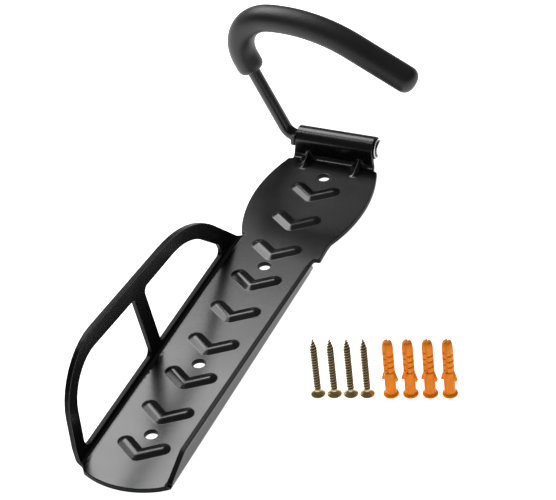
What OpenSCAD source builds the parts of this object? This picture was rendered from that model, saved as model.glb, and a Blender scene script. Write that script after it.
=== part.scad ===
// Folding bicycle hook on a folded steel wall plate, with its screws and wall plugs.
// The rack lies on its back: +Z points away from the wall, +Y up the wall, +X to the right.
// The origin is the top screw hole's centre, on the face that meets the wall.

/* [Sheet] */
// Thickness of the steel sheet
sheet_t = 3; // [2.5:0.1:3.5]
// Inside radius of the two long folds
fold_r = 2; // [1.5:0.1:2.5]

/* [Tray] */
// Inside width of the tray between the guard and the lip
tray_w = 51; // [46:0.5:54]
// Distance from the top screw hole down to the bottom tip
tray_drop = 281.5; // [278:0.5:290]
// Radius of the rounded bottom end
end_r = 47; // [42:1:60]

/* [Head] */
// How far the head swells past the tray on each side
head_bulge = 6.5; // [3:0.5:9]
// Radius of the head's two side arcs
head_r = 104; // [95:1:115]
// Height of the head's widest line above the top screw hole
head_mid = -22; // [-26:1:-20]
// Corner radius at the head's two top corners
head_corner_r = 6; // [3:0.5:8]

/* [Chevrons] */
// Number of chevrons
chevron_count = 9; // [5:1:9]
// Distance from one chevron to the next
chevron_pitch = 29.5; // [28:0.25:30]
// Height of the first chevron's inner notch above the top screw hole
chevron_top = -15.3; // [-17:0.1:-14]
// Half the distance between the centres of the two round arm ends
chevron_reach = 10.7; // [8:0.1:12]
// Rise of a chevron's arm ends above its middle
chevron_rise = 7.8; // [5:0.1:9]
// Half the width of a chevron's arm
chevron_half = 4.5; // [3.5:0.1:5]
// Height of the chevrons' ridges above the tray
chevron_h = 1.4; // [0.8:0.1:1.8]

/* [Screw holes] */
// Radius of the four screw holes
hole_r = 3.5; // [3:0.1:3.8]
// Distance between the first, second and third holes
hole_pitch = 90; // [89:0.5:91]
// Distance between the last two holes
hole_pitch_last = 60; // [59:0.5:60.5]

/* [Guard] */
// Height of the guard's top line at the middle of the tray
guard_h = 59.5; // [50:0.5:64]
// Width of the guard's outer band
band_w = 10; // [8:0.5:12]
// Width of the guard's brace
brace_w = 10; // [8:0.5:12]

/* [Lip] */
// Height of the lip at its head end
lip_h_top = 7.8; // [7:0.1:9]
// Height of the lip near the bottom end
lip_h_low = 13.4; // [11:0.1:15]

/* [Hinge] */
// Height of the hinge axis above the top screw hole
hinge_y = 24; // [23.5:0.1:26]
// Distance from the wall face to the hinge axis
hinge_z = 12.7; // [12.5:0.1:16]
// Length of the rolled eye
eye_w = 50; // [44:0.5:52]
// Width of the neck that carries the eye
neck_w = 52.5; // [52:0.5:54]
// Gap around the rod inside the eye
rod_gap = 0.06; // [0.02:0.01:0.1]

/* [Hook] */
// Radius of the hook's steel rod
rod_r = 4; // [3.5:0.1:4.2]
// Centreline radius of the bend beside the eye
root_r = 9; // [8:0.5:11]
// Lean of the hook's leg away from the plate's normal
leg_lean = 24.6; // [20:0.1:30]
// Straight length of the hook's leg
leg_l = 51; // [45:0.5:60]
// Centreline radius of the hook's outer bend
turn_r = 21.4; // [18:0.1:26]
// Angle turned through by the outer bend
turn_a = 110.4; // [100:0.1:115]
// Centreline radius of the long sweep after the outer bend
sweep_r = 96; // [80:1:120]
// Angle turned through by the long sweep
sweep_a = 32.7; // [25:0.1:38]
// Straight length at the hook's free end
reach_l = 36; // [30:0.5:45]

/* [Grip] */
// Outer radius of the rubber sleeve
grip_r = 8.2; // [7.5:0.1:9]
// Length of bare rod left on the leg below the sleeve
bare_l = 42; // [30:0.5:45]

/* [End cap] */
// Radius of the push-on cap's flange
cap_r = 6.4; // [5.5:0.1:6.8]

/* [Screws] */
// Length of a screw
screw_l = 38; // [35:1:50]
// Radius of a screw's head
screw_head_r = 4; // [3.8:0.1:4.4]
// Radius over a screw's thread
screw_r = 2; // [1.8:0.1:2.1]

/* [Wall plugs] */
// Length of a wall plug
plug_l = 36; // [34:1:45]
// Radius of a plug's body
plug_r = 3; // [2.8:0.1:3.4]
// Radius of a plug's collar
collar_r = 4.2; // [4:0.1:4.4]

/* [Hidden] */
$fn = 64;
e = 0.5;                                   // overlap that lets joined shapes merge
joint_l = 0.1;                             // collar at each joint of a bent bar
joint_step = 0.005;
steel = [0.06, 0.06, 0.07];
zinc = [0.72, 0.58, 0.30];
orange = [0.95, 0.50, 0.08];
rubber = [0.08, 0.08, 0.08];

chevron_crest = 0.9;                       // half the width of a chevron's flat crest
chevron_wall = 0.9;                        // how much narrower its hollow is behind
half_w = tray_w / 2 + sheet_t;             // outer half width of the tray
fold_out = fold_r + sheet_t;               // outside radius of a long fold
flat_w = half_w - fold_out;                // half width of the tray's flat floor
tray_y = -64;                              // where the tray's straight sides begin
head_top = 14;                             // where the neck's fold leaves the head
eye_out = rod_r + rod_gap + sheet_t;       // outside radius of the eye
neck_front = hinge_y - eye_out;            // neck face that looks down the tray
eye_end = 245;                             // angle at which the rolled sheet stops
stop_gap = 0.3;                            // gap between the stop ear and the hook's root
stop_w = 1.9;                              // width of the stop ear beside the neck
stop_low = 2.7;                            // how far it reaches below the hinge axis
stop_rise = 4.5;                           // and above it

guard_top_y = -66.5;                       // guard's end beside the head
guard_low_y = -273.3;                      // guard's end at the bottom
guard_slope = 0.095;                       // climb of the guard's top line, per millimetre
guard_foot = 6.5;                          // lower edge of the guard's two openings
brace_y = -178;                            // foot of the brace, at its middle
brace_lean = 12;                           // lean of the brace towards the bottom end
lip_top_y = -83;                           // lip's end beside the head
lip_low_y = -256;                          // where the lip starts to run out
lip_out_y = -277;                          // and where it meets the tray's fold

dart_x = 16.5;                             // the two pressed darts that stiffen the neck
dart_w = 6;
dart_run = 12.5;                           // reach of a dart down the head
dart_rise = 5;                             // and up the neck

turn_root = 90 - leg_lean;
leg_x = -eye_w / 2 - 0.6;                  // where the rod starts to bend
cap_gap = 0.4;                             // play between the eye and the cap
cap_clear = 0.6;                           // room cut for the cap in the side of the neck
cap_t = 0.8;
cap_dome = 1.3;
tail_l = 1.2;                              // rod's length inside the cap

kit_pos = [70.6, -181.4];                  // first screw's place beside the tray
kit_angle = 17;                            // direction of the row of screws and plugs
screw_step = 8.8;
plug_step = 10.4;
kit_gap = 12.6;                            // from the last screw to the first plug

// Unit vector along v
function unit(v) = v / norm(v);
// Angle of v, in degrees
function heading(v) = atan2(v[1], v[0]);
// Angle turned from a to b, between -180 and 180
function swing(a, b) = let (d = b - a) d > 180 ? d - 360 : d < -180 ? d + 360 : d;
// Points of an arc of radius r that rounds corner b between its neighbours a and c
function corner(a, b, c, r, steps) = let (
        u = unit(a - b), v = unit(c - b),
        half = acos(u * v) / 2,
        centre = b + unit(u + v) * r / sin(half),
        from = heading(b + u * r / tan(half) - centre),
        turn = swing(from, heading(b + v * r / tan(half) - centre)))
    [for (i = [0 : steps]) centre + r * [cos(from + turn * i / steps), sin(from + turn * i / steps)]];
// Outline through corners given as [x, y, radius], each rounded by its own radius
function rounded(p, steps = 8) = let (n = len(p)) [for (i = [0 : n - 1])
        each let (a = p[(i + n - 1) % n], b = p[i], c = p[(i + 1) % n])
            b[2] == 0 ? [[b[0], b[1]]]
                : corner([a[0], a[1]], [b[0], b[1]], [c[0], c[1]], b[2], b[2] > 20 ? 2 * steps : steps)];
// Height of the guard's top line at y
function guard_line(y) = guard_h - guard_slope * (y + 155);

// Extrudes a [y, z] outline along X, centred on x
module across(x, width) {
    translate([x - width / 2, 0, 0]) rotate([90, 0, 90]) linear_extrude(width) children();
}

// Extrudes an [x, z] outline along Y, from y_low to y_high
module along(y_low, y_high) {
    translate([0, y_high, 0]) rotate([90, 0, 0]) linear_extrude(y_high - y_low) children();
}

// Plan of the flat sheet: tray floor and swollen head
module plate_plan() {
    intersection() {
        union() {
            translate([-flat_w, -tray_drop]) square([2 * flat_w, tray_drop + tray_y + 1]);
            translate([0, lip_top_y + 7]) square([half_w, tray_y - lip_top_y - 6]);
            intersection() {
                head_side(-1);
                head_side(1);
                translate([-50, tray_y + 0.5]) square([100, head_top - tray_y - 0.5]);
            }
        }
        translate([0, -tray_drop + end_r]) union() {
            circle(end_r, $fn = 128);
            translate([-50, 0]) square([100, 400]);
        }
    }
}

// The disc whose arc bounds the head on side s, with the top corner on that side rounded
module head_side(s) {
    corner_x = neck_w / 2 + 2.4;
    intersection() {
        translate([-s * (head_r - half_w - head_bulge), head_mid]) circle(head_r, $fn = 128);
        polygon(rounded([[-s * 60, -120, 0], [s * 60, -120, 0], [s * 60, head_top - 12, 0],
            [s * corner_x, head_top + 0.4, head_corner_r], [-s * 60, head_top + 0.4, 0]]));
    }
}

// Right half of a chevron's ridge, with its inner notch at the origin, standing on a plinth
module half_chevron(foot, crest, h, plinth) {
    angle = atan2(chevron_rise, chevron_reach);
    arm = norm([chevron_reach, chevron_rise]);
    intersection() {
        translate([0, -50, -50]) cube([60, 100, 100]);
        translate([0, -chevron_half / cos(angle), 0]) rotate(angle) {
            rotate([90, 0, 90]) linear_extrude(arm)
                polygon([[-foot, -plinth], [foot, -plinth], [foot, 0], [crest, h], [-crest, h], [-foot, 0]]);
            for (x = [0, arm]) translate([x, 0, 0]) {
                cylinder(r1 = foot, r2 = crest, h = h);
                translate([0, 0, -plinth]) cylinder(r = foot, h = plinth);
            }
        }
    }
}

// All the chevrons, with their feet at height z
module chevrons(z, foot, crest, h, plinth) {
    for (i = [0 : chevron_count - 1], side = [0, 1])
        translate([0, chevron_top - i * chevron_pitch, z]) mirror([side, 0, 0])
            half_chevron(foot, crest, h, plinth);
}

// Section of a long fold with a wall of the given height, on side s
module fold_section(s, height) {
    mirror([s < 0 ? 1 : 0, 0]) {
        intersection() {
            difference() {
                translate([flat_w, fold_out]) circle(fold_out);
                translate([flat_w, fold_out]) circle(fold_r);
            }
            translate([flat_w - e, 0]) square([fold_out + e, fold_out]);
        }
        translate([half_w - sheet_t, fold_out - 0.01]) square([sheet_t, height - fold_out]);
    }
}

// Side view of the guard, in [y, z]
module guard_outline() {
    low = guard_line(guard_low_y);
    polygon(rounded([[guard_top_y, 0, 0], [-121, guard_line(-121), 100], [guard_low_y, low, 33],
        [guard_low_y, 14, 20], [guard_low_y + 2, 0, 0]]));
}

// The guard's opening between its brace and the head
module upper_opening() {
    lean = tan(brace_lean);
    edge = brace_y + brace_w / 2 + 0.5;
    top = guard_line(edge) - band_w - 0.8;
    polygon(rounded([[-89.5, guard_foot, 3], [-93, 14.6, 3], [-126, 45.5, 62],
        [edge - (top - guard_foot) * lean, top, 3], [edge, guard_foot, 3.5]]));
}

// The guard's opening between its brace and the bottom end
module lower_opening() {
    lean = tan(brace_lean);
    edge = brace_y - brace_w / 2 - 0.5;
    top = guard_line(edge) - band_w - 0.8;
    low_y = guard_low_y + band_w - 1;
    polygon(rounded([[edge, guard_foot, 3.5], [edge - (top - guard_foot) * lean, top, 3],
        [low_y, guard_line(low_y) - band_w - 0.8, 23], [low_y, guard_foot, 7]]));
}

// Tall side guard, folded up from the tray's left edge
module guard() {
    intersection() {
        along(-290, 0) fold_section(-1, 90);
        across(-half_w + 5, 20) difference() {
            guard_outline();
            upper_opening();
            lower_opening();
        }
    }
}

// Low lip, folded up from the tray's right edge
module lip() {
    intersection() {
        along(-290, 0) fold_section(1, 30);
        across(half_w - 5, 20)
            polygon(rounded([[lip_top_y, 0, 0], [lip_top_y - 4, lip_h_top, 4],
                [lip_low_y, lip_h_low, 8], [lip_out_y, 5.2, 4], [-271.5, 0, 0]]));
    }
}

// Section of the neck: fold, upright and rolled eye, in [y, z]
module neck_section() {
    fold_in = neck_front - head_top;
    difference() {
        union() {
            // fold between the head and the neck
            intersection() {
                difference() {
                    translate([head_top, fold_in + sheet_t]) circle(fold_in + sheet_t);
                    translate([head_top, fold_in + sheet_t]) circle(fold_in);
                }
                translate([head_top - e, 0]) square([fold_in + sheet_t + e, fold_in + sheet_t]);
            }
            // upright
            translate([neck_front, fold_in + sheet_t - 0.01])
                square([sheet_t, hinge_z - fold_in - sheet_t + 0.02]);
        }
        translate([hinge_y, hinge_z]) circle(rod_r + rod_gap);
    }
}

// Rolled eye in section: a ring open between its end and the neck
module eye_section() {
    reach = 20;
    translate([hinge_y, hinge_z]) difference() {
        circle(eye_out);
        circle(rod_r + rod_gap);
        polygon([[0, 0], [-reach, 0], [-reach, -reach],
            [0, -reach], reach * [cos(eye_end), sin(eye_end)]]);
    }
}

// Pressed dart across the neck's fold
module dart() {
    polygon([[neck_front - dart_run, sheet_t - e], [neck_front + e, sheet_t - e],
        [neck_front + e, sheet_t + dart_rise], [neck_front - e, sheet_t + dart_rise - e],
        [neck_front - dart_run + e, sheet_t + 0.2]]);
}

// Neck, eye, darts and the ear that stops the hook at right angles to the wall
module neck() {
    across(0, neck_w) neck_section();
    across(0, eye_w) eye_section();
    for (s = [-1, 1]) across(s * dart_x, dart_w) dart();
    translate([-neck_w / 2 - stop_w, neck_front, hinge_z - stop_low])
        cube([stop_w + e, sheet_t - stop_gap, stop_low + stop_rise]);
}

// One folded steel sheet: tray, guard, lip, head and rolled eye
module backplate() {
    color(steel) difference() {
        union() {
            linear_extrude(sheet_t) plate_plan();
            chevrons(sheet_t, chevron_half, chevron_crest, chevron_h, e);
            guard();
            lip();
            neck();
        }
        chevrons(0, chevron_half - chevron_wall, chevron_crest / 2, chevron_h, 1);
        // room for the end cap beside the neck
        translate([eye_w / 2, hinge_y, hinge_z]) rotate([0, 90, 0]) cylinder(r = cap_r + cap_clear, h = 5);
        for (y = [0, -hole_pitch, -2 * hole_pitch, -2 * hole_pitch - hole_pitch_last])
            translate([0, y, -1]) cylinder(r = hole_r, h = sheet_t + 2);
    }
}

// A round bar that follows steps of [length, 0] or [radius, angle], from the origin along +Z,
// and bends towards +X. A hair-thin collar at each joint lets the pieces merge cleanly.
module bar(steps, r, i = 0) {
    if (i < len(steps)) {
        size = steps[i][0];
        angle = steps[i][1];
        if (angle == 0) {
            cylinder(r = r, h = size);
            translate([0, 0, size]) bar_joint(steps, r, i);
            translate([0, 0, size]) bar(steps, r, i + 1);
        } else {
            translate([size, 0, 0]) rotate([90, 0, 0]) rotate([0, 0, 180 - angle])
                rotate_extrude(angle = angle) translate([size, 0]) circle(r);
            around(size, angle) bar_joint(steps, r, i);
            around(size, angle) bar(steps, r, i + 1);
        }
    }
}

module bar_joint(steps, r, i) {
    if (i < len(steps) - 1)
        translate([0, 0, -joint_l / 2]) cylinder(r = r + joint_step, h = joint_l);
}

// Moves its children from the start of a bend to its end
module around(radius, angle) {
    translate([radius, 0, 0]) rotate([0, angle, 0]) translate([-radius, 0, 0]) children();
}

// Places its children on the hinge axis where the rod leaves the eye, with +Z out of the eye
module at_root() {
    translate([leg_x, hinge_y, hinge_z]) rotate([0, -90, 0]) children();
}

outer_run = [[turn_r, turn_a], [sweep_r, sweep_a], [reach_l, 0]];

// Bent steel rod: straight hinge leg, root bend, leg, outer bend, sweep and free end
module hook_rod() {
    hinge_leg = eye_w / 2 + cap_gap + tail_l - leg_x;
    color(steel) at_root() translate([0, 0, -hinge_leg])
        bar(concat([[hinge_leg, 0], [root_r, turn_root], [leg_l, 0]], outer_run), rod_r);
}

// Rubber sleeve over the hook's outer part, with a round closed end
module grip_sleeve() {
    lead_in = grip_r / 2;
    covered = leg_l - bare_l;
    color(rubber) at_root() around(root_r, turn_root) translate([0, 0, bare_l]) difference() {
        union() {
            cylinder(r1 = grip_r * 0.8, r2 = grip_r + joint_step, h = lead_in);
            translate([0, 0, lead_in])
                bar(concat([[covered - lead_in, 0]], outer_run, [[joint_l, 0]]), grip_r);
            translate([0, 0, covered]) around(turn_r, turn_a) around(sweep_r, sweep_a)
                translate([0, 0, reach_l]) sphere(grip_r);
        }
        translate([0, 0, -1]) bar(concat([[covered + 1, 0]], outer_run), rod_r);
    }
}

// Bright push-on cap that keeps the rod in the eye
module end_cap() {
    color("silver") translate([eye_w / 2 + cap_gap, hinge_y, hinge_z]) rotate([0, 90, 0])
        difference() {
            union() {
                cylinder(r = cap_r, h = cap_t);
                cylinder(r1 = rod_r + 1, r2 = rod_r - 0.4, h = cap_t + cap_dome);
            }
            translate([0, 0, -1]) cylinder(r = rod_r, h = 1 + tail_l);
        }
}

// Countersunk wood screw, standing on its head
module screw() {
    head_rim = 0.7;
    head_cone = 2.4;
    tip = 6;
    color(zinc) difference() {
        union() {
            cylinder(r = screw_head_r, h = head_rim);
            translate([0, 0, head_rim]) cylinder(r1 = screw_head_r, r2 = screw_r, h = head_cone);
            translate([0, 0, head_rim + head_cone])
                cylinder(r = screw_r, h = screw_l - tip - head_rim - head_cone);
            translate([0, 0, screw_l - tip]) cylinder(r1 = screw_r, r2 = 0.2, h = tip);
        }
        for (a = [0, 90]) rotate(a) translate([-2.2, -0.45, -1]) cube([4.4, 0.9, 2.6]);
    }
}

// Split wall plug, standing on its collar
module wall_plug() {
    collar_h = 1.6;
    nose = 5;
    bore_r = 1.5;
    barb_z = 12;
    color(orange) difference() {
        union() {
            cylinder(r = collar_r, h = collar_h);
            translate([0, 0, collar_h - e]) cylinder(r = plug_r, h = plug_l - nose - collar_h + e);
            translate([0, 0, plug_l - nose]) cylinder(r1 = plug_r, r2 = plug_r * 0.6, h = nose);
            for (s = [-1, 1]) translate([s * plug_r, 0, barb_z]) rotate([0, s * 14, 0])
                translate([-0.8, -0.9, -2.5]) cube([1.6, 1.8, 6]);
        }
        translate([0, 0, -1]) cylinder(r = bore_r, h = plug_l - nose);
        translate([-0.4, -5, 16]) cube([0.8, 10, plug_l]);
    }
}

// Places its children at a distance along the row of screws and plugs
module in_row(distance) {
    translate([kit_pos[0], kit_pos[1], 0]) rotate(kit_angle) translate([distance, 0, 0]) children();
}

module kit_screw(i) {
    in_row(i * screw_step) screw();
}

module kit_plug(i) {
    in_row(3 * screw_step + kit_gap + i * plug_step) rotate(-kit_angle) wall_plug();
}

backplate();
hook_rod();
grip_sleeve();
end_cap();
kit_screw(0);  // screw_1
kit_screw(1);  // screw_2
kit_screw(2);  // screw_3
kit_screw(3);  // screw_4
kit_plug(0);  // wall_plug_1
kit_plug(1);  // wall_plug_2
kit_plug(2);  // wall_plug_3
kit_plug(3);  // wall_plug_4
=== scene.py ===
"""Folding bicycle hook on a steel wall plate, with its screws and wall plugs.

Lengths are in millimetres until a mesh is made, which turns them into metres.
The rack lies on its back: +Z points away from the wall, +Y up the wall.
"""

import math

import bpy
import numpy as np
from mathutils import Matrix, Vector
from mathutils.geometry import delaunay_2d_cdt


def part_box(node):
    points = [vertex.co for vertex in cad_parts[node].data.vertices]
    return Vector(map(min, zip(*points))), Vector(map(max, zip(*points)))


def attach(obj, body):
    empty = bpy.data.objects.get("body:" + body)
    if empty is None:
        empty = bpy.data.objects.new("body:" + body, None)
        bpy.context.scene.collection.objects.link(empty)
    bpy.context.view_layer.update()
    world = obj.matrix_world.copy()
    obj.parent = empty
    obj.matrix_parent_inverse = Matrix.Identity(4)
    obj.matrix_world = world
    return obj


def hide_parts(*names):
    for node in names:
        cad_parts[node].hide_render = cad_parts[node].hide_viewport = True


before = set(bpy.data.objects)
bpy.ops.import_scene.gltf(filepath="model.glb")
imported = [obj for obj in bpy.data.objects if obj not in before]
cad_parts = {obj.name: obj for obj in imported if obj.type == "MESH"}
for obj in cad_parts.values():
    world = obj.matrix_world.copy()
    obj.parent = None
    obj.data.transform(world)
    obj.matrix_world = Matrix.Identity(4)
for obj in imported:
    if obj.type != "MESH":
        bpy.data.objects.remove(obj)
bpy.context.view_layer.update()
MM = 0.001

# ---------------------------------------------------------------- driving sizes
SHEET = 3.0                 # thickness of the steel sheet
EDGE_R = 0.55               # rounding of the sheet's painted cut edges
FOLD_R = 2.0                # inside radius of the two long folds
HALF_W = 28.5               # outer half width of the tray
FOLD_OUT = FOLD_R + SHEET
FLAT_W = HALF_W - FOLD_OUT  # half width of the tray's flat floor
BEND_L = (FOLD_R + SHEET / 2) * math.pi / 2

TRAY_LOW = -281.5           # bottom tip of the tray
END_R = 47.0                # radius of the rounded bottom end
HEAD_R = 104.0              # radius of the head's side arcs
HEAD_MID = -22.0            # height of the head's widest line
HEAD_HALF = 35.0            # half width there
HEAD_TOP = 14.0             # where the neck's fold leaves the head

GUARD_FOLD_Y = -65.0        # the left fold ends here, below the head
HOLE_R = 3.5
HOLES_Y = (0.0, -90.0, -180.0, -240.0)

CHEVRONS = 9
CHEVRON_TOP = -15.3         # first chevron's inner notch
CHEVRON_PITCH = 29.5
CHEVRON_REACH = 10.7
CHEVRON_RISE = 7.8
CHEVRON_HALF = 4.5
CHEVRON_H = 1.4             # height of the ridges above the tray
CHEVRON_CREST = 0.9         # half the width of a ridge's flat crest
CHEVRON_WALL = 0.9          # how much narrower its hollow is behind

GUARD_H = 59.5
GUARD_SLOPE = 0.095
GUARD_TOP_Y = -66.5
GUARD_LOW_Y = -273.3
GUARD_FOOT = 6.5
BAND = 10.8
BRACE_Y = -178.0
BRACE_HALF = 5.5
BRACE_LEAN = math.tan(math.radians(12))

LIP_TOP_Y = -83.0
LIP_LOW_Y = -256.0
LIP_OUT_Y = -277.0
LIP_H_TOP = 7.8
LIP_H_LOW = 13.4

HINGE_Y = 24.0
HINGE_Z = 12.7
ROD_R = 4.0
EYE_IN = 4.06
EYE_HALF = 25.0
NECK_HALF = 24.9            # narrows above its fold, to clear the end cap
NECK_FRONT = HINGE_Y - EYE_IN - SHEET
NECK_R = NECK_FRONT - HEAD_TOP
NECK_BEND_L = (NECK_R + SHEET / 2) * math.pi / 2
UPRIGHT_L = HINGE_Z - NECK_R - SHEET
ROLL_R = EYE_IN + SHEET / 2
ROLL_TURN = math.radians(295)
ROLL_START = HEAD_TOP + NECK_BEND_L + UPRIGHT_L
ROLL_END = ROLL_START + ROLL_R * ROLL_TURN

DART_X = 16.5
DART_HALF = 2.7
DART_FOOT = (NECK_FRONT - 12.5, SHEET)
DART_TOP = (NECK_FRONT, SHEET + 5.0)

ROOT_R = 9.0
LEG_LEAN = 24.6
LEG_L = 51.0
TURN_R, TURN_A = 21.4, 110.4
SWEEP_R, SWEEP_A = 96.0, 32.7
REACH_L = 36.0
LEG_X = -EYE_HALF - 0.6
GRIP_R = 8.2
BARE_L = 42.0


# ---------------------------------------------------------------- mesh helpers
def make_piece(name, verts, faces, material, body, nodes=(), normals=None, rim_or_shade=None):
    """A mesh piece, from points in millimetres, that rides on a body and stands for CAD nodes."""
    mesh = bpy.data.meshes.new(name)
    mesh.from_pydata((np.asarray(verts, float) * MM).tolist(), [], [list(f) for f in faces])
    mesh.validate()
    mesh.shade_smooth()
    # the weight attribute holds the sheet's edge rounding, or the painted shade that darkens the cap and the
    # screws
    if rim_or_shade is not None:
        attribute = mesh.attributes.new("rim_or_shade", "FLOAT", "POINT")
        attribute.data.foreach_set("value", np.asarray(rim_or_shade, np.float32))
    if normals is not None:
        mesh.normals_split_custom_set_from_vertices(np.asarray(normals, float).tolist())
    mesh.materials.append(material)
    piece = bpy.data.objects.new(name, mesh)
    bpy.context.scene.collection.objects.link(piece)
    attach(piece, body)
    if nodes:
        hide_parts(*nodes)
    return piece


def grid_faces(rows, columns):
    """Quads between closed rows of points, each of which joins its last point to its first."""
    faces = []
    for r in range(rows - 1):
        for c in range(columns):
            d = (c + 1) % columns
            a = r * columns
            b = a + columns
            faces.append((a + c, a + d, b + d, b + c))
    return faces


def rounded(corners, steps=8):
    """An outline through corners (x, y, radius), each rounded by its own radius."""
    outline = []
    count = len(corners)
    for i, (x, y, radius) in enumerate(corners):
        b = Vector((x, y))
        if radius == 0:
            outline.append(b)
            continue
        a = Vector(corners[i - 1][:2])
        c = Vector(corners[(i + 1) % count][:2])
        u = (a - b).normalized()
        v = (c - b).normalized()
        half = u.angle(v) / 2
        centre = b + (u + v).normalized() * radius / math.sin(half)
        first = b + u * radius / math.tan(half) - centre
        last = b + v * radius / math.tan(half) - centre
        turn = math.atan2(first.cross(last), first.dot(last))
        for k in range(steps + 1):
            outline.append(centre + Matrix.Rotation(turn * k / steps, 2) @ first)
    return outline


def resample(outline, spacing):
    """The closed outline with its long stretches divided."""
    points = []
    for a, b in zip(outline, outline[1:] + outline[:1]):
        length = (b - a).length
        if length < 1e-4:
            continue
        for k in range(max(1, math.ceil(length / spacing))):
            points.append(a.lerp(b, k / max(1, math.ceil(length / spacing))))
    return np.array([tuple(p) for p in points])


# ---------------------------------------------------------------- folded sheet
def unfolded(z):
    """Distance from the middle of the flat sheet to height z on a folded wall."""
    if z >= FOLD_OUT:
        return FLAT_W + BEND_L + z - FOLD_OUT
    return FLAT_W + BEND_L * math.acos(1 - z / FOLD_OUT) / (math.pi / 2)


def guard_line(y):
    return GUARD_H - GUARD_SLOPE * (y + 155)


def arc(centre, radius, start, end, steps):
    return [(centre[0] + radius * math.cos(start + (end - start) * k / steps),
             centre[1] + radius * math.sin(start + (end - start) * k / steps), 0)
            for k in range(steps + 1)]


def sheet_outline():
    """The whole sheet before it is folded, counterclockwise from its bottom tip."""
    disc_y = TRAY_LOW + END_R
    tip = math.asin((FLAT_W - 1.5) / END_R)
    corners = arc((0, disc_y), END_R, -math.pi / 2 - tip, -math.pi / 2 + tip, 24)
    # lip, from the bottom end to the head
    corners += [(FLAT_W + 2.5, -273.2, 3), (unfolded(5.2), LIP_OUT_Y + 0.8, 3),
                (unfolded(LIP_H_LOW), LIP_LOW_Y, 10), (unfolded(LIP_H_TOP), LIP_TOP_Y - 4, 4),
                (FLAT_W + 2.0, LIP_TOP_Y, 1.2), (FLAT_W + 1.0, LIP_TOP_Y + 3.5, 1.6),
                (FLAT_W + 1.5, LIP_TOP_Y + 7, 1.2), (HALF_W, LIP_TOP_Y + 7, 1.4)]
    # head, with its swollen sides
    reach = HEAD_R - HEAD_HALF
    low = math.asin((-58.5 - HEAD_MID) / HEAD_R)
    high = math.asin((11.0 - HEAD_MID) / HEAD_R)
    corners += [(HALF_W - 0.4, -63.5, 5)] + arc((-reach, HEAD_MID), HEAD_R, low, high, 26)
    corners += [(29.0, 13.4, 1.5), (26.3, 14.6, 1.2), (NECK_HALF, 20.5, 2), (EYE_HALF, ROLL_START, 1),
                (EYE_HALF, ROLL_END, 1.2), (-EYE_HALF, ROLL_END, 1.2), (-EYE_HALF, ROLL_START, 1),
                (-26.2, 20.5, 2), (-26.3, 14.6, 0.8), (-29.0, 13.4, 1.5)]
    corners += arc((reach, HEAD_MID), HEAD_R, math.pi - high, math.pi - low, 26)
    # guard, from the head to the bottom end
    corners += [(-26.3, -63.3, 1.2), (-FLAT_W - 1, -63.6, 0.9), (-FLAT_W - 1, GUARD_TOP_Y, 0.9),
                (-unfolded(0.6), GUARD_TOP_Y, 0.5),
                (-unfolded(guard_line(-121)), -121, 100),
                (-unfolded(guard_line(GUARD_LOW_Y)), GUARD_LOW_Y, 33),
                (-unfolded(14), GUARD_LOW_Y, 20), (-unfolded(0.5), GUARD_LOW_Y + 1.8, 2)]
    return corners


def upper_opening():
    edge = BRACE_Y + BRACE_HALF
    top = guard_line(edge) - BAND
    return [(-89.5, GUARD_FOOT, 3), (-93, 14.6, 3), (-126, 45.5, 62),
            (edge - (top - GUARD_FOOT) * BRACE_LEAN, top, 3), (edge, GUARD_FOOT, 3.5)]


def lower_opening():
    edge = BRACE_Y - BRACE_HALF
    top = guard_line(edge) - BAND
    low_y = GUARD_LOW_Y + 9
    return [(edge, GUARD_FOOT, 3.5), (edge - (top - GUARD_FOOT) * BRACE_LEAN, top, 3),
            (low_y, guard_line(low_y) - BAND, 23), (low_y, GUARD_FOOT, 7)]


def circle(x, y, radius, steps=36):
    return [Vector((x + radius * math.cos(a), y + radius * math.sin(a)))
            for a in np.linspace(0, 2 * math.pi, steps, endpoint=False)]


def signed_area(p):
    q = np.roll(p, -1, 0)
    return 0.5 * np.sum(p[:, 0] * q[:, 1] - q[:, 0] * p[:, 1])


def sheet_loops():
    """The outline, counterclockwise, and the holes, clockwise, so that metal is on the left."""
    loops = [resample(rounded(sheet_outline(), 10), 1.3)]
    for opening in (upper_opening(), lower_opening()):
        corners = [(-unfolded(z), y, r) for y, z, r in opening]
        loops.append(resample(rounded(corners, 10), 1.3))
    loops += [resample(circle(0, y, HOLE_R), 1.3) for y in HOLES_Y]
    for i, loop in enumerate(loops):
        if (signed_area(loop) > 0) != (i == 0):
            loops[i] = loop[::-1].copy()
    return loops


def outward(loop):
    """Unit normals that point out of the metal, halfway between the edges at each point."""
    back = loop - np.roll(loop, 1, 0)
    ahead = np.roll(loop, -1, 0) - loop
    normals = []
    for d in (back, ahead):
        n = np.stack([d[:, 1], -d[:, 0]], 1)
        normals.append(n / np.linalg.norm(n, axis=1, keepdims=True))
    mean = normals[0] + normals[1]
    mean /= np.linalg.norm(mean, axis=1, keepdims=True)
    return mean


def inside(points, loops):
    """Which points lie in the metal, by counting crossings with all the loops."""
    hits = np.zeros(len(points), int)
    for loop in loops:
        nxt = np.roll(loop, -1, 0)
        for (x0, y0), (x1, y1) in zip(loop, nxt):
            if y0 == y1:
                continue
            rows = (points[:, 1] < y0) != (points[:, 1] < y1)
            x = x0 + (points[rows, 1] - y0) * (x1 - x0) / (y1 - y0)
            hits[rows] += points[rows, 0] < x
    return hits % 2 == 1


ARM = np.array([CHEVRON_REACH, CHEVRON_RISE])
ARM_L = np.hypot(*ARM)
ARM_DROP = CHEVRON_HALF * ARM_L / CHEVRON_REACH


def arm_distance(x, y):
    """Distance to the chevron's bent middle line."""
    px, py = np.abs(x), y + ARM_DROP
    u = ARM / ARM_L
    along = np.clip(px * u[0] + py * u[1], 0, ARM_L)
    return np.hypot(px - along * u[0], py - along * u[1])


def nearest_chevron(v):
    """v measured from the inner notch of the nearest chevron."""
    middle = CHEVRON_TOP - 1.5
    step = np.clip(np.round((middle - v) / CHEVRON_PITCH), 0, CHEVRONS - 1)
    return v - CHEVRON_TOP + step * CHEVRON_PITCH


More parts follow.
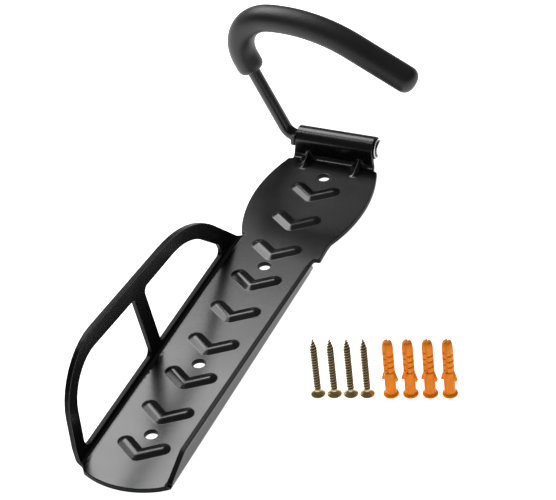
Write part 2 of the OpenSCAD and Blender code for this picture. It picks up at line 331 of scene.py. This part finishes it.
def eased(t, foot=0.08, crest=0.22):
    """A slope from 0 to 1 with a tight bend at its foot and a rounder one at its crest."""
    t = np.where(t < -foot, 0, np.where(t > foot, t, (t + foot) ** 2 / (4 * foot)))
    left = 1 - t
    return 1 - np.where(left < -crest, 0, np.where(left > crest, left, (left + crest) ** 2 / (4 * crest)))


def chevron_rise(s, v, w):
    """How far the chevrons lift the sheet: ridges on its face, narrower hollows behind them."""
    d = arm_distance(s, nearest_chevron(v))
    ridge = eased((CHEVRON_HALF - d) / (CHEVRON_HALF - CHEVRON_CREST))
    foot = CHEVRON_HALF - CHEVRON_WALL
    hollow = eased((foot - d) / (foot - CHEVRON_CREST / 2))
    return CHEVRON_H * (ridge * w + hollow * (SHEET - w)) / SHEET


def neck_section(v, w):
    """y and z of the sheet up the neck's fold, up the neck and round the eye."""
    over = np.maximum(v - HEAD_TOP, 0)
    angle = np.minimum(over, NECK_BEND_L) / (NECK_R + SHEET / 2)
    rho = NECK_R + SHEET - w
    y = np.minimum(v, HEAD_TOP) + rho * np.sin(angle)
    z = NECK_R + SHEET - rho * np.cos(angle) + np.clip(over - NECK_BEND_L, 0, UPRIGHT_L)
    turn = np.maximum(v - ROLL_START, 0) / ROLL_R
    rolled = v > ROLL_START
    y = np.where(rolled, HINGE_Y - (EYE_IN + w) * np.cos(turn), y)
    z = np.where(rolled, HINGE_Z + (EYE_IN + w) * np.sin(turn), z)
    return y, z


def dart_shift(s, v):
    """How far the two pressed darts push the sheet into the corner of the neck's fold."""
    y, z = neck_section(v, np.full_like(v, SHEET))
    run = np.array(DART_TOP) - np.array(DART_FOOT)
    run /= np.linalg.norm(run)
    out = np.array([-run[1], run[0]])
    gap = np.maximum((DART_FOOT[0] - y) * out[0] + (DART_FOOT[1] - z) * out[1], 0)
    gap = np.where(v < ROLL_START, gap, 0)
    side = np.abs(np.abs(s) - DART_X) / DART_HALF
    ridge = np.where(side < 1, 1 - np.sqrt(side ** 2 + 0.02) + 0.0099, 0)
    ridge = np.clip(ridge / 0.87, 0, 1)
    return gap * ridge * out[0], gap * ridge * out[1]


def place(s, v, w):
    """The folded place of the sheet's point (s, v) at depth w, where w is 0 on the wall side."""
    s, v, w = (np.asarray(a, float) for a in (s, v, w))
    over = np.maximum(np.abs(s) - FLAT_W, 0)
    angle = np.minimum(over, BEND_L) / (FOLD_R + SHEET / 2)
    rho = FOLD_OUT - w
    x = np.sign(s) * (np.minimum(np.abs(s), FLAT_W) + rho * np.sin(angle))
    z = FOLD_OUT - rho * np.cos(angle) + np.maximum(over - BEND_L, 0)
    folded = v < np.where(s < 0, GUARD_FOLD_Y, LIP_TOP_Y + 4)
    x = np.where(folded, x, s)
    z = np.where(folded, z, w)
    ny, nz = neck_section(v, w)
    neck = v > HEAD_TOP
    y = np.where(neck, ny, v)
    z = np.where(neck, nz, z)
    flat = (np.abs(s) < 20) & (v < HEAD_TOP - 8)
    z = z + np.where(flat, chevron_rise(s, v, w), 0)
    dy, dz = dart_shift(s, v)
    return np.stack([x, y + dy, z + dz], 1)


def face_normal(s, v, w):
    h = 0.02
    ds = place(s + h, v, w) - place(s - h, v, w)
    dv = place(s, v + h, w) - place(s, v - h, w)
    n = np.cross(ds, dv)
    return n / np.linalg.norm(n, axis=1, keepdims=True)


# distances from an arm's middle line at which its crest, slope and foot are divided
CONTOURS = (0.01, 0.5, 0.9, 1.3, 1.8, 2.6, 3.3, 3.6, 3.9, 4.15, 4.3, 4.45, 4.6, 4.8, 5.5)


def chevron_points():
    """Points along each chevron's contours, so that its slopes are finely divided."""
    u = ARM / ARM_L
    normal = np.array([-u[1], u[0]])
    base = math.atan2(u[1], u[0])
    points = []
    for d in CONTOURS:
        ring = [u * ARM_L * k / 16 + normal * d * side for k in range(17) for side in (-1, 1)]
        turns = max(4, round(math.pi * d))
        ring += [ARM + d * np.array([math.cos(base + t), math.sin(base + t)])
                 for t in np.linspace(-math.pi / 2, math.pi / 2, turns + 1)[1:-1]]
        ring += [d * np.array([math.cos(t), math.sin(t)])
                 for t in np.linspace(-math.pi / 2, base - math.pi / 2, max(3, turns // 2))]
        for x, y in ring:
            if x > -0.05:
                points += [(side * max(x, 0), y - ARM_DROP, d) for side in ((-1, 1) if x > 0.3 else (1,))]
    points = np.array(points)
    near = arm_distance(points[:, 0], points[:, 1])
    points = points[near > points[:, 2] - 0.12][:, :2]
    return np.concatenate([points + (0, CHEVRON_TOP - i * CHEVRON_PITCH) for i in range(CHEVRONS)])


def lattice(xs, ys):
    x, y = np.meshgrid(xs, ys)
    return np.stack([x.ravel(), y.ravel()], 1)


def inner_points(loops):
    """Points inside the metal: coarse on flats, fine across folds, darts, eye and chevrons."""
    wall = FLAT_W + BEND_L
    bend = FLAT_W + np.linspace(0, BEND_L, 9)
    neck = HEAD_TOP + np.linspace(0, NECK_BEND_L, 11)
    roll = ROLL_START + np.linspace(0, 1, 46)[:-1] * (ROLL_END - ROLL_START)
    along = np.arange(TRAY_LOW, -64, 4.0)
    sets = [lattice(np.arange(-FLAT_W + 1.5, FLAT_W, 4.1), np.arange(TRAY_LOW, HEAD_TOP, 4.1)),
            lattice(np.arange(-33, 34, 4.4), np.arange(-62, HEAD_TOP, 4.1)),
            lattice(-wall - np.arange(2, 70, 4.1), along), lattice(wall + np.arange(2, 12, 4.1), along),
            lattice(-bend, along), lattice(bend, along),
            lattice(np.linspace(-25.5, 25.5, 18), neck),
            lattice(np.linspace(-25.5, 25.5, 18), neck[-1] + np.linspace(0.2, 0.9, 4) * UPRIGHT_L),
            lattice(np.linspace(-23.8, 23.8, 13), roll)]
    points = np.concatenate(sets)
    clear = arm_distance(points[:, 0], nearest_chevron(points[:, 1])) > 6.4
    dart_low = DART_FOOT[0] - 1
    in_dart = (np.abs(np.abs(points[:, 0]) - DART_X) < DART_HALF + 0.4) & \
        (points[:, 1] > dart_low) & (points[:, 1] < ROLL_START)
    points = points[clear & ~in_dart]
    fine_x = np.linspace(-DART_HALF, DART_HALF, 15)
    fine_y = np.concatenate([np.arange(dart_low, HEAD_TOP, 0.8), neck,
                             neck[-1] + np.linspace(0.1, 0.98, 9) * UPRIGHT_L])
    darts = [lattice(side * DART_X + fine_x, fine_y) for side in (-1, 1)]
    points = np.concatenate([points, chevron_points()] + darts)
    points = points[inside(points, loops)]
    edge = np.concatenate(loops)
    keep = [i for i, p in enumerate(points)
            if np.min(np.sum((edge - p) ** 2, 1)) > 0.75 ** 2]
    return points[keep]


def folded_sheet():
    """Vertices, faces, normals and rim weights of the whole pressed and folded sheet."""
    loops = sheet_loops()
    outs = [outward(loop) for loop in loops]
    insets = [loop - n * EDGE_R for loop, n in zip(loops, outs)]
    inner = inner_points(insets)
    flat = np.concatenate(insets + [inner])
    edges = []
    start = 0
    for loop in insets:
        count = len(loop)
        edges += [(start + i, start + (i + 1) % count) for i in range(count)]
        start += count
    found = delaunay_2d_cdt([Vector(p) for p in flat], edges, [], 0, 1e-5, True)
    points = np.array([tuple(p) for p in found[0]])
    faces = np.array([tuple(f) for f in found[2]])
    index = {}
    for new, olds in enumerate(found[3]):
        for old in olds:
            index[old] = new
    middle = points[faces].mean(1)
    faces = faces[inside(middle, insets)]
    s, v = points[:, 0], points[:, 1]
    top = np.full_like(s, SHEET)
    normal_top = face_normal(s, v, top)
    normal_low = -face_normal(s, v, top * 0)
    verts = [place(s, v, top), place(s, v, top * 0)]
    normals = [normal_top, normal_low]
    rim_or_shade = [np.zeros(len(s)), np.zeros(len(s))]
    count = len(points)
    quads = [tuple(f) for f in faces] + [tuple(count + i for i in f[::-1]) for f in faces]
    total = 2 * count
    start = 0
    turns = np.radians([30, 60, 90])
    for loop, n in zip(loops, outs):
        size = len(loop)
        ids = [[index[start + i] for i in range(size)]]
        ahead = place(loop[:, 0] + n[:, 0] * 0.02, loop[:, 1] + n[:, 1] * 0.02, np.full(size, SHEET / 2))
        out = ahead - place(loop[:, 0], loop[:, 1], np.full(size, SHEET / 2))
        out /= np.linalg.norm(out, axis=1, keepdims=True)
        rings = [(t, 1) for t in turns] + [(t, -1) for t in turns[::-1]]
        for turn, face in rings:
            shift = EDGE_R * (1 - math.sin(turn))
            depth = EDGE_R * (1 - math.cos(turn))
            w = np.full(size, SHEET - depth if face > 0 else depth)
            p = loop - n * shift
            verts.append(place(p[:, 0], p[:, 1], w))
            base = face_normal(p[:, 0], p[:, 1], w) * face
            tilt = base * math.cos(turn) + out * math.sin(turn)
            normals.append(tilt / np.linalg.norm(tilt, axis=1, keepdims=True))
            rim_or_shade.append(np.full(size, math.sin(turn)))
            ids.append(list(range(total, total + size)))
            total += size
        ids.append([count + i for i in ids[0]])
        for a, b in zip(ids, ids[1:]):
            for i in range(size):
                j = (i + 1) % size
                quads.append((a[i], b[i], b[j], a[j]))
        start += size
    return np.concatenate(verts), quads, np.concatenate(normals), np.concatenate(rim_or_shade)


# ---------------------------------------------------------------- materials
def new_material(name):
    material = bpy.data.materials.new(name)
    material.use_nodes = True
    nodes = material.node_tree.nodes
    return material, nodes, material.node_tree.links, nodes["Principled BSDF"]


def noise(nodes, links, coords, scale, detail=4, rough=0.55):
    node = nodes.new("ShaderNodeTexNoise")
    node.inputs["Scale"].default_value = scale
    node.inputs["Detail"].default_value = detail
    node.inputs["Roughness"].default_value = rough
    links.new(coords, node.inputs["Vector"])
    return node.outputs["Fac"]


def ramp(nodes, links, value, stops):
    node = nodes.new("ShaderNodeValToRGB")
    element = node.color_ramp.elements
    while len(element) < len(stops):
        element.new(0.5)
    for e, (at, colour) in zip(element, stops):
        e.position = at
        e.color = (*colour, 1)
    links.new(value, node.inputs["Fac"])
    return node.outputs["Color"]


def spread(nodes, links, value, low, high, start=0.3, end=0.7):
    node = nodes.new("ShaderNodeMapRange")
    node.inputs["From Min"].default_value = start
    node.inputs["From Max"].default_value = end
    node.inputs["To Min"].default_value = low
    node.inputs["To Max"].default_value = high
    links.new(value, node.inputs["Value"])
    return node.outputs["Result"]


def bump(nodes, links, shader, layers):
    """Stacks bump layers of (height, strength, distance in metres) on the shader."""
    normal = None
    for height, strength, distance in layers:
        node = nodes.new("ShaderNodeBump")
        node.inputs["Strength"].default_value = strength
        node.inputs["Distance"].default_value = distance
        links.new(height, node.inputs["Height"])
        if normal is not None:
            links.new(normal, node.inputs["Normal"])
        normal = node.outputs["Normal"]
    links.new(normal, shader.inputs["Normal"])


def coords(nodes):
    return nodes.new("ShaderNodeTexCoord").outputs["Object"]


def powder_coat():
    """Black satin powder coat with a faint orange peel, rougher and less shiny on the cut edges."""
    material, nodes, links, shader = new_material("black powder coat")
    place_in = coords(nodes)
    peel = noise(nodes, links, place_in, 520, 3)
    grain = noise(nodes, links, place_in, 3200, 2)
    cloud = noise(nodes, links, place_in, 26, 4)
    rim_or_shade = nodes.new("ShaderNodeAttribute")
    rim_or_shade.attribute_name = "rim_or_shade"
    links.new(ramp(nodes, links, cloud, [(0.3, (0.0028, 0.0029, 0.0030)), (0.72, (0.0045, 0.0045, 0.0046))]),
              shader.inputs["Base Color"])
    rough = nodes.new("ShaderNodeMix")
    links.new(spread(nodes, links, rim_or_shade.outputs["Fac"], 0, 1, 0.55, 1.0), rough.inputs["Factor"])
    links.new(spread(nodes, links, cloud, 0.22, 0.27), rough.inputs["A"])
    rough.inputs["B"].default_value = 0.42
    links.new(rough.outputs["Result"], shader.inputs["Roughness"])
    links.new(spread(nodes, links, rim_or_shade.outputs["Fac"], 0.5, 0.12, 0.8, 1.0),
              shader.inputs["Specular IOR Level"])
    bump(nodes, links, shader, [(peel, 0.045, 0.0004), (grain, 0.02, 0.0001)])
    return material


def rod_coat():
    """The same coat on the round rod, a little glossier."""
    material, nodes, links, shader = new_material("black coated rod")
    place_in = coords(nodes)
    cloud = noise(nodes, links, place_in, 60, 4)
    peel = noise(nodes, links, place_in, 700, 3)
    links.new(ramp(nodes, links, cloud, [(0.3, (0.0028, 0.0028, 0.0029)), (0.72, (0.0044, 0.0044, 0.0045))]),
              shader.inputs["Base Color"])
    links.new(spread(nodes, links, cloud, 0.22, 0.30), shader.inputs["Roughness"])
    bump(nodes, links, shader, [(peel, 0.08, 0.0003)])
    return material


def rubber():
    """Moulded black rubber with a fine leathery grain."""
    material, nodes, links, shader = new_material("black rubber")
    place_in = coords(nodes)
    cloud = noise(nodes, links, place_in, 45, 5)
    cells = nodes.new("ShaderNodeTexVoronoi")
    cells.inputs["Scale"].default_value = 950
    links.new(place_in, cells.inputs["Vector"])
    fine = noise(nodes, links, place_in, 2400, 3)
    links.new(ramp(nodes, links, cloud, [(0.3, (0.0045, 0.0047, 0.0046)), (0.75, (0.0085, 0.0087, 0.0086))]),
              shader.inputs["Base Color"])
    links.new(spread(nodes, links, cloud, 0.42, 0.54), shader.inputs["Roughness"])
    bump(nodes, links, shader, [(cells.outputs["Distance"], 0.18, 0.0003), (fine, 0.15, 0.0001)])
    return material


def with_painted_shade(nodes, links, shader, colour, painted_shade):
    """The base colour, darkened toward the given painted shade colour where the mesh's weight attribute is
    high.
    """
    weight = nodes.new("ShaderNodeAttribute")
    weight.attribute_name = "rim_or_shade"
    mix = nodes.new("ShaderNodeMix")
    mix.data_type = "RGBA"
    links.new(weight.outputs["Fac"], mix.inputs["Factor"])
    links.new(colour, mix.inputs["A"])
    mix.inputs["B"].default_value = (*painted_shade, 1)
    links.new(mix.outputs["Result"], shader.inputs["Base Color"])


def chrome():
    """Bright plated metal, with painted shade darkening the cap's side and the walls of its groove."""
    material, nodes, links, shader = new_material("bright plated cap")
    place_in = coords(nodes)
    streak = noise(nodes, links, place_in, 900, 4)
    shader.inputs["Metallic"].default_value = 1.0
    plated = ramp(nodes, links, streak, [(0.3, (0.62, 0.62, 0.63)), (0.7, (0.74, 0.74, 0.75))])
    with_painted_shade(nodes, links, shader, plated, (0.012, 0.012, 0.013))
    links.new(spread(nodes, links, streak, 0.12, 0.24), shader.inputs["Roughness"])
    bump(nodes, links, shader, [(streak, 0.05, 0.0001)])
    return material


def yellow_zinc():
    """Yellow zinc plating, with painted shade darkening it between the threads."""
    material, nodes, links, shader = new_material("yellow zinc")
    place_in = coords(nodes)
    tint = noise(nodes, links, place_in, 160, 3)
    fine = noise(nodes, links, place_in, 1500, 3)
    shader.inputs["Metallic"].default_value = 1.0
    plated = ramp(nodes, links, tint, [(0.3, (0.50, 0.37, 0.17)), (0.5, (0.66, 0.52, 0.28)),
                                         (0.7, (0.58, 0.48, 0.32))])
    with_painted_shade(nodes, links, shader, plated, (0.07, 0.05, 0.025))
    links.new(spread(nodes, links, fine, 0.24, 0.38), shader.inputs["Roughness"])
    bump(nodes, links, shader, [(fine, 0.08, 0.0001)])
    return material


def orange_nylon():
    """Moulded orange nylon, slightly cloudy."""
    material, nodes, links, shader = new_material("orange nylon")
    place_in = coords(nodes)
    cloud = noise(nodes, links, place_in, 220, 3)
    fine = noise(nodes, links, place_in, 2200, 3)
    links.new(ramp(nodes, links, cloud, [(0.3, (0.92, 0.24, 0.003)), (0.7, (1.0, 0.31, 0.005))]),
              shader.inputs["Base Color"])
    links.new(spread(nodes, links, fine, 0.30, 0.42), shader.inputs["Roughness"])
    shader.inputs["Specular IOR Level"].default_value = 0.18
    bump(nodes, links, shader, [(fine, 0.10, 0.0001)])
    return material


COAT = powder_coat()
ROD_COAT = rod_coat()
RUBBER = rubber()
CHROME = chrome()
ZINC = yellow_zinc()
NYLON = orange_nylon()


# ---------------------------------------------------------------- pieces
EAR_LOW, EAR_HIGH = (-28.15, 16.98, 10.0), (-24.8, 19.64, 17.2)
EAR_ROUND = 0.5


def stop_ear(start):
    """A small rounded block on the neck's left edge, which the rod's root bend comes to rest on."""
    lo, hi, r = np.array(EAR_LOW), np.array(EAR_HIGH), EAR_ROUND
    middle, core = (lo + hi) / 2, (hi - lo) / 2 - r
    steps = np.radians([3, 45, 87])
    around = [a + q * math.pi / 2 for q in range(4) for a in steps]
    tilts = [-a for a in steps[::-1]] + list(steps)
    normals = [np.array([math.cos(t) * math.cos(a), math.cos(t) * math.sin(a), math.sin(t)])
               for t in tilts for a in around]
    verts = [tuple(middle + np.sign(n) * core + r * n) for n in normals]
    faces = grid_faces(len(tilts), len(around))
    verts, faces = capped(verts, faces, len(around))
    faces = [tuple(start + i for i in f) for f in faces]
    return np.array(verts), faces, np.array(normals + [[0, 0, -1], [0, 0, 1]])


def backplate():
    verts, faces, normals, rim_or_shade = folded_sheet()
    ear, ear_faces, ear_normals = stop_ear(len(verts))
    verts, normals = np.concatenate([verts, ear]), np.concatenate([normals, ear_normals])
    faces = list(faces) + ear_faces
    rim_or_shade = np.concatenate([rim_or_shade, np.zeros(len(ear))])
    return make_piece("backplate_sheet", verts, faces, COAT, "plate",
                      ["backplate"], normals, rim_or_shade)


def hook_path(steps, spacing=1.2):
    """Points, directions and lengths along the hook's bent centre line, from steps of
    (length, 0) or (radius, angle), starting where the rod leaves the eye."""
    at = np.array([0.0, 0.0])
    heading = 0.0
    done = 0.0
    out = [(at, heading, done)]
    for size, angle in steps:
        turn = math.radians(angle)
        length = size * turn if angle else size
        count = max(1, math.ceil(length / spacing))
        start, first = at, heading
        centre = start + size * np.array([-math.sin(first), math.cos(first)])
        for k in range(1, count + 1):
            if angle:
                heading = first + turn * k / count
                at = centre + size * np.array([math.sin(heading), -math.cos(heading)])
            else:
                at = start + np.array([math.cos(first), math.sin(first)]) * length * k / count
            out.append((at, heading, done + length * k / count))
        done += length
    return out


def tube(path, profile, sides=48):
    """Rings along a path; profile gives (length along the path, radius) for each ring."""
    lengths = np.array([p[2] for p in path])
    lz = np.array([p[0][0] for p in path])
    lx = np.array([p[0][1] for p in path])
    heads = np.array([p[1] for p in path])
    verts = []
    for length, radius in profile:
        inner = np.clip(length, lengths[0], lengths[-1])
        h = np.interp(inner, lengths, heads)
        z = np.interp(inner, lengths, lz) + (length - inner) * math.cos(h)
        x = np.interp(inner, lengths, lx) + (length - inner) * math.sin(h)
        for a in np.linspace(0, 2 * math.pi, sides, endpoint=False):
            out = radius * math.cos(a)
            verts.append((LEG_X - z + out * math.sin(h), HINGE_Y + radius * math.sin(a),
                          HINGE_Z + x + out * math.cos(h)))
    faces = grid_faces(len(profile), sides)
    return verts, faces


def capped(verts, faces, sides):
    """Closes both ends of a tube with a flat ring of points and a middle point."""
    verts = list(verts)
    count = len(verts)
    for ring, flip in ((list(range(sides)), True), (list(range(count - sides, count)), False)):
        middle = len(verts)
        verts.append(tuple(np.mean([verts[i] for i in ring], 0)))
        for i in range(sides):
            a, b = ring[i], ring[(i + 1) % sides]
            faces.append((b, a, middle) if flip else (a, b, middle))
    return verts, faces


OUTER_RUN = [(TURN_R, TURN_A), (SWEEP_R, SWEEP_A), (REACH_L, 0)]
HOOK = hook_path([(ROOT_R, 90 - LEG_LEAN), (LEG_L, 0)] + OUTER_RUN)
ROOT_L = ROOT_R * math.radians(90 - LEG_LEAN)
HOOK_L = HOOK[-1][2]


def hook_rod():
    tail = EYE_HALF + 0.4 + 1.2 - LEG_X
    profile = [(-tail, ROD_R - 0.5), (-tail + 0.15, ROD_R - 0.15), (-tail + 0.5, ROD_R)]
    profile += [(l, ROD_R) for l in np.arange(-tail + 4, 0, 6)]
    profile += [(l, ROD_R) for l in np.arange(0, HOOK_L - 1, 1.2)]
    profile += [(HOOK_L - 0.5, ROD_R), (HOOK_L - 0.15, ROD_R - 0.15), (HOOK_L, ROD_R - 0.5)]
    verts, faces = capped(*tube(HOOK, profile), 48)
    return make_piece("bent_hook_rod", verts, faces, ROD_COAT, "hook",
                      ["hook_rod"])


def grip_sleeve():
    low = ROOT_L + BARE_L
    profile = [(low + 3.0, ROD_R + 0.02), (low + 0.9, ROD_R + 0.1), (low + 0.25, ROD_R + 0.5)]
    nose = 4.2
    for k in range(0, 11):
        t = k / 10
        a = t * math.pi / 2
        profile.append((low + nose * (1 - math.cos(a)), ROD_R + 1.4 + (GRIP_R - ROD_R - 1.4) * math.sin(a)))
    profile += [(l, GRIP_R) for l in np.arange(low + nose + 1.2, HOOK_L - 1, 1.2)]
    end = 6.9
    for k in range(0, 15):
        a = math.pi / 2 * k / 14
        profile.append((HOOK_L + end * math.sin(a) ** 0.92, max(GRIP_R * math.cos(a) ** 0.82, 0.02)))
    verts, faces = tube(HOOK, profile, 64)
    verts, faces = capped(verts, faces, 64)
    return make_piece("rubber_sleeve", verts, faces, RUBBER, "hook",
                      ["grip_sleeve"])


def lathe(profile, sides):
    """A closed turned form around the X axis, from (position, radius) rings."""
    verts = []
    for x, r in profile:
        for a in np.linspace(0, 2 * math.pi, sides, endpoint=False):
            verts.append((x, r * math.cos(a), r * math.sin(a)))
    return capped(verts, grid_faces(len(profile), sides), sides)


CAP_SIDES = 48


def end_cap():
    lo, hi = (np.array(c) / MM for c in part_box("end_cap"))
    x = lo[0]
    r = (hi[1] - lo[1]) / 2
    depth = hi[0] - lo[0]
    # position along the axis, radius and painted shade, from the eye outwards
    rings = [(0, 4.1, 1), (0, r - 0.3, 1), (0.1, r - 0.08, 1), (0.35, r, 1), (0.6, r - 0.1, 0.9),
             (0.8, r - 0.45, 0.3), (0.84, r - 0.9, 0), (0.86, 5.5, 0), (0.9, 5.3, 0.9), (1.0, 4.9, 1),
             (depth - 0.6, 4.4, 0.9), (depth - 0.35, 4.0, 0.2), (depth - 0.2, 3.7, 0), (depth, 2.6, 0),
             (depth, 0.5, 0)]
    verts, faces = lathe([ring[:2] for ring in rings], CAP_SIDES)
    # painted shade: near black on the cap's rim and side, bright on its end face
    painted_shade = [ring[2] for ring in rings for _ in range(CAP_SIDES)] + [1, 0]
    verts = [(x + a, HINGE_Y + b, HINGE_Z + c) for a, b, c in verts]
    return make_piece("push_on_cap", verts, faces, CHROME, "hook", ["end_cap"], rim_or_shade=painted_shade)


THREAD_PITCH, THREAD_R, CORE_R = 1.8, 2.0, 1.15
SHANK_R, SHANK_Z = 1.6, 3.0  # the bare shank under the head, and where the thread starts
SCREW_SIDES = 28


def screw(number):
    """A countersunk screw with a rolled thread, standing on its head where the CAD's screw stands."""
    name = f"screw_{number}"
    lo, hi = (np.array(c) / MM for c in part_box(name))
    x, y = (lo + hi)[:2] / 2
    length = hi[2] - lo[2]
    head_r = (hi[0] - lo[0]) / 2
    rows = [(0.0, head_r - 0.5), (0.08, head_r - 0.12), (0.3, head_r), (0.6, head_r - 0.1)]
    rows += [(0.6 + 2.2 * t, head_r - 0.1 - (head_r - 0.1 - SHANK_R) * t ** 0.9)
             for t in np.linspace(0.15, 1, 6)]
    verts = []
    for z, r in rows:
        verts += [(r * math.cos(a), r * math.sin(a), z)
                  for a in np.linspace(0, 2 * math.pi, SCREW_SIDES, endpoint=False)]
    # painted shade: each thread valley is darkened in the colour
    valley_shade = [0.0] * len(verts)
    zs = np.arange(SHANK_Z, length - 0.05, THREAD_PITCH / 9)
    for z in zs:
        taper = min(1, max(0, (length - z) / 6.5)) ** 0.8
        blend_in = min(1, (z - SHANK_Z) / 1.5)
        for a in np.linspace(0, 2 * math.pi, SCREW_SIDES, endpoint=False):
            phase = (z / THREAD_PITCH - a / (2 * math.pi)) % 1
            ridge = max(0, 1 - abs(phase - 0.5) / 0.30) ** 1.1
            base = SHANK_R * (1 - blend_in) + CORE_R * blend_in
            r = (base * taper) + (THREAD_R - base) * ridge * taper ** 0.55 * blend_in
            verts.append((r * math.cos(a), r * math.sin(a), z))
            valley_shade.append((1 - ridge) * blend_in)
    count = len(rows) + len(zs)
    faces = grid_faces(count, SCREW_SIDES)
    verts, faces = capped(verts, faces, SCREW_SIDES)
    verts[-1] = (0, 0, length)
    verts = [(x + a, y + b, c) for a, b, c in verts]
    return make_piece(f"wood_screw_{number}", verts, faces, ZINC, name, [name],
                      rim_or_shade=valley_shade + [0.0, 0.0])


PLUG_R = 3.0
PLUG_SIDES = 48
SPLIT_Z = 16                # the plug is split and cut above this height
CUT_PITCH = 3.8
FIN = [(2.4, 10.0), (2.4, 15.8), (3.1, 15.2), (4.45, 10.4), (4.2, 9.8)]
FIN_HALF = 0.8


def wall_plug(number):
    """A split plug with staggered cuts above its two fins, standing on its collar."""
    name = f"wall_plug_{number}"
    lo, hi = (np.array(c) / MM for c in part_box(name))
    x, y = (lo + hi)[:2] / 2
    length = hi[2] - lo[2]
    collar = (hi[1] - lo[1]) / 2
    rows = [(0.0, collar - 0.35), (0.1, collar - 0.08), (0.4, collar), (1.1, collar - 0.1),
            (1.4, collar - 0.5), (1.7, PLUG_R + 0.25), (2.1, PLUG_R)]
    rows += [(z, PLUG_R) for z in np.arange(2.5, length - 5, 0.25)]
    rows += [(length - 5 + 5 * math.sin(a),
              PLUG_R * (0.62 + 0.38 * math.cos(a)) if a < 1.5 else PLUG_R * 0.55)
             for a in np.linspace(0, math.pi / 2, 9)]
    verts = []
    for z, r in rows:
        for a in np.linspace(0, 2 * math.pi, PLUG_SIDES, endpoint=False):
            c, s = math.cos(a), math.sin(a)
            dent = 0.0
            if SPLIT_Z < z < length - 4:
                course = ((z - SPLIT_Z) / CUT_PITCH + (0.5 if c < 0 else 0)) % 1
                if course < 0.2 and abs(c) > 0.12:
                    dent = 0.7
            if z > SPLIT_Z and abs(c) < 0.14:
                dent = 1.1
            if 3 < z < 15 and abs(c) < 0.2:
                dent = -0.25
            verts.append(((r - dent) * c, (r - dent) * s, z))
    verts, faces = capped(verts, grid_faces(len(rows), PLUG_SIDES), PLUG_SIDES)
    verts = [(x + a, y + b, c) for a, b, c in verts]
    for side in (-1, 1):
        base = len(verts)
        for depth in (-FIN_HALF, FIN_HALF):
            verts += [(x + side * fx, y + depth, fz) for fx, fz in FIN]
        n = len(FIN)
        faces.append(tuple(base + i for i in range(n)))
        faces.append(tuple(base + n + i for i in reversed(range(n))))
        for i in range(n):
            j = (i + 1) % n
            faces.append((base + j, base + i, base + n + i, base + n + j))
    return make_piece(f"split_plug_{number}", verts, faces, NYLON, name, [name])


backplate()
hook_rod()
grip_sleeve()
end_cap()
for number in range(1, 5):
    screw(number)
    wall_plug(number)


# ---------------------------------------------------------------- camera, light and floor
LENS = 147.31
AZIMUTH, ELEVATION, ROLL = (math.radians(a) for a in (-27.22, 36.88, -6.78))
CAMERA_AT = Vector((0.48113, -1.00628, 0.78952))
KEY_AT = (-0.42, 0.22, 0.6)
KEY_SIZE = (0.5, 0.62)
KEY_POWER = 7.2
ROOM_STRENGTH = 0.12        # what the coats reflect, beside the white that the camera sees
FLOOR_HALF = 6.0
FLOOR_Z = -0.0004
FLOOR_GLOW = 1.1


def add_camera():
    ahead = Vector((math.sin(AZIMUTH) * math.cos(ELEVATION), math.cos(AZIMUTH) * math.cos(ELEVATION),
                    -math.sin(ELEVATION)))
    level = Vector((math.cos(AZIMUTH), -math.sin(AZIMUTH), 0))
    up = level.cross(ahead)
    right = level * math.cos(ROLL) + up * math.sin(ROLL)
    up = up * math.cos(ROLL) - level * math.sin(ROLL)
    data = bpy.data.cameras.new("camera")
    data.sensor_width = 36
    data.lens = LENS
    data.clip_end = 20
    camera = bpy.data.objects.new("camera", data)
    rotation = Matrix((right, up, -ahead)).transposed().to_4x4()
    camera.matrix_world = Matrix.Translation(CAMERA_AT) @ rotation
    bpy.context.scene.collection.objects.link(camera)
    bpy.context.scene.camera = camera


def softbox(name, place_at, target, size, size_y, power):
    data = bpy.data.lights.new(name, "AREA")
    data.shape = "RECTANGLE"
    data.size = size
    data.size_y = size_y
    data.energy = power
    light = bpy.data.objects.new(name, data)
    light.location = place_at
    light.rotation_euler = (Vector(target) - Vector(place_at)).to_track_quat("-Z", "Y").to_euler()
    bpy.context.scene.collection.objects.link(light)


def add_light():
    """A softbox overhead, in a dim room whose backdrop is white."""
    world = bpy.data.worlds.new("studio")
    world.use_nodes = True
    nodes, links = world.node_tree.nodes, world.node_tree.links
    room = nodes["Background"]
    room.inputs["Color"].default_value = (1, 1, 1, 1)
    room.inputs["Strength"].default_value = ROOM_STRENGTH
    backdrop = nodes.new("ShaderNodeBackground")
    backdrop.inputs["Strength"].default_value = 1.0
    seen = nodes.new("ShaderNodeLightPath").outputs["Is Camera Ray"]
    mix = nodes.new("ShaderNodeMixShader")
    links.new(seen, mix.inputs["Fac"])
    links.new(room.outputs["Background"], mix.inputs[1])
    links.new(backdrop.outputs["Background"], mix.inputs[2])
    links.new(mix.outputs["Shader"], nodes["World Output"].inputs["Surface"])
    bpy.context.scene.world = world
    softbox("key", KEY_AT, (*KEY_AT[:2], 0), *KEY_SIZE, KEY_POWER)


def add_floor():
    mesh = bpy.data.meshes.new("floor")
    half, low = FLOOR_HALF, FLOOR_Z
    mesh.from_pydata([(-half, -half, low), (half, -half, low), (half, half, low), (-half, half, low)],
                     [], [(0, 1, 2, 3)])
    material, nodes, links, shader = new_material("pale floor")
    shader.inputs["Base Color"].default_value = (0.86, 0.86, 0.86, 1)
    shader.inputs["Roughness"].default_value = 0.9
    shader.inputs["Specular IOR Level"].default_value = 0.1
    shader.inputs["Emission Color"].default_value = (1, 1, 1, 1)
    shader.inputs["Emission Strength"].default_value = FLOOR_GLOW
    mesh.materials.append(material)
    floor = bpy.data.objects.new("floor", mesh)
    bpy.context.scene.collection.objects.link(floor)


bpy.context.scene.view_settings.view_transform = "Standard"
add_camera()
add_light()
add_floor()
